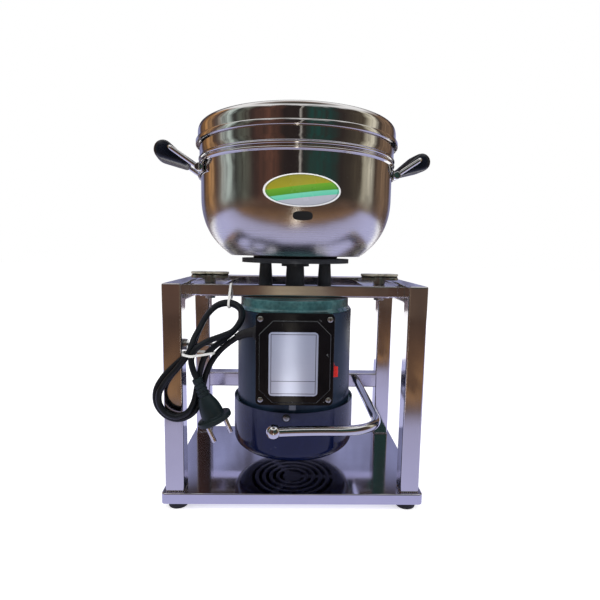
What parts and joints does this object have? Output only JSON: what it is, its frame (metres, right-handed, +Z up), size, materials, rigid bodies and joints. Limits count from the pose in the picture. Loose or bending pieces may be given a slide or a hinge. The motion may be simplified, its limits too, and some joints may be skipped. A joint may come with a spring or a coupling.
{
  "type": "food grinder",
  "caption": "Grinding pot with handles, lid and blades on a cast spider, over an upright electric motor hung in a polished square-tube stand with terminal box, switch and hanked mains cord.",
  "frame": {"origin": "on the motor axis, on the surface that the rubber feet stand on", "axes": "+Z up, +X to the right seen from the front, -Y towards the front with the terminal box"},
  "size_m": [0.3222, 0.2324, 0.4463],
  "materials": {
    "polished_steel": "polished stainless tube and sheet",
    "brushed_steel": "fine brushed stainless",
    "bright_chrome": "bright plating",
    "zinc": "zinc plated",
    "motor_paint": "dark slate blue paint",
    "hammered_paint": "teal hammered paint",
    "cowl_paint": "glossy navy paint",
    "gloss_black": "glossy black",
    "grip_black": "satin black phenolic",
    "black_rubber": "matt black",
    "cord_black": "black flexible sheath",
    "switch_red": "glossy red",
    "tie_white": "white plastic band",
    "capacitor_white": "off-white case",
    "fan_plastic": "matt black",
    "bare_steel": "ground steel",
    "winding_copper": "steel laminations with copper windings",
    "dark_cast_iron": "dark painted casting"
  },
  "bodies": {
    "stand": {"leg_front_left": "polished_steel", "leg_front_right": "polished_steel", "leg_back_left": "polished_steel", "leg_back_right": "polished_steel", "side_rail_left": "polished_steel", "side_rail_right": "polished_steel", "motor_bar_left": "polished_steel", "motor_bar_right": "polished_steel", "front_rail": "polished_steel", "back_top_rail": "polished_steel", "back_mid_rail": "polished_steel", "base_tray": "polished_steel", "motor_mount_plate": "polished_steel", "pot": "brushed_steel", "rating_plate": "brushed_steel", "handle_bail_left": "bright_chrome", "handle_bail_right": "bright_chrome", "clamp_stud_left": "zinc", "clamp_stud_right": "zinc", "cord_peg": "zinc", "motor_barrel": "motor_paint", "upper_end_shield": "hammered_paint", "lower_end_shield": "hammered_paint", "fan_cowl": "cowl_paint", "terminal_box": "gloss_black", "terminal_box_cover": "gloss_black", "switch_body": "gloss_black", "handle_grip_left": "grip_black", "handle_grip_right": "grip_black", "rubber_foot_front_left": "black_rubber", "rubber_foot_front_right": "black_rubber", "rubber_foot_back_left": "black_rubber", "rubber_foot_back_right": "black_rubber", "pot_gasket": "black_rubber", "shaft_seal": "black_rubber", "cord_gland": "black_rubber", "mains_lead": "cord_black", "cord_hank": "cord_black", "mains_plug": "cord_black", "hank_tie_waist": "tie_white", "hank_tie_rail": "tie_white", "run_capacitor": "capacitor_white", "upper_bearing": "bare_steel", "lower_bearing": "bare_steel", "motor_stator": "winding_copper", "grinder_spider": "dark_cast_iron"},
    "rotor": {"motor_shaft": "bare_steel", "motor_rotor": "bare_steel", "cooling_fan": "fan_plastic", "blade_hub": "zinc", "lower_blade": "brushed_steel", "upper_blade": "brushed_steel", "blade_nut": "zinc"},
    "lid": {"lid": "polished_steel", "lid_knob": "grip_black"},
    "rocker": {"rocker_switch": "switch_red"},
    "clamp_left": {"wing_nut_left": "zinc"},
    "clamp_right": {"wing_nut_right": "zinc"},
    "handle": {"swing_handle": "bright_chrome", "handle_ball": "bright_chrome"}
  },
  "joints": [
    {"name": "rotor_spin", "type": "hinge", "parent": "stand", "child": "rotor", "pos_m": [0, 0, 0.15], "axis": [0, 0, 1], "continuous": true},
    {"name": "lid_lift", "type": "slide", "parent": "stand", "child": "lid", "axis": [0, 0, 1], "range_m": [0, 0.12]},
    {"name": "rocker_tilt", "type": "hinge", "parent": "stand", "child": "rocker", "pos_m": [0.038, -0.078, 0.155], "axis": [0, 0, 1], "range_deg": [-16, 0]},
    {"name": "wing_nut_left_turn", "type": "hinge", "parent": "stand", "child": "clamp_left", "pos_m": [-0.102, 0, 0.247], "axis": [0, 0, 1], "continuous": true},
    {"name": "wing_nut_right_turn", "type": "hinge", "parent": "stand", "child": "clamp_right", "pos_m": [0.102, 0, 0.247], "axis": [0, 0, 1], "continuous": true},
    {"name": "handle_swing", "type": "hinge", "parent": "stand", "child": "handle", "pos_m": [0.09, 0.075, 0.0984], "axis": [0, 1, 0], "range_deg": [0, 90]}
  ]
}
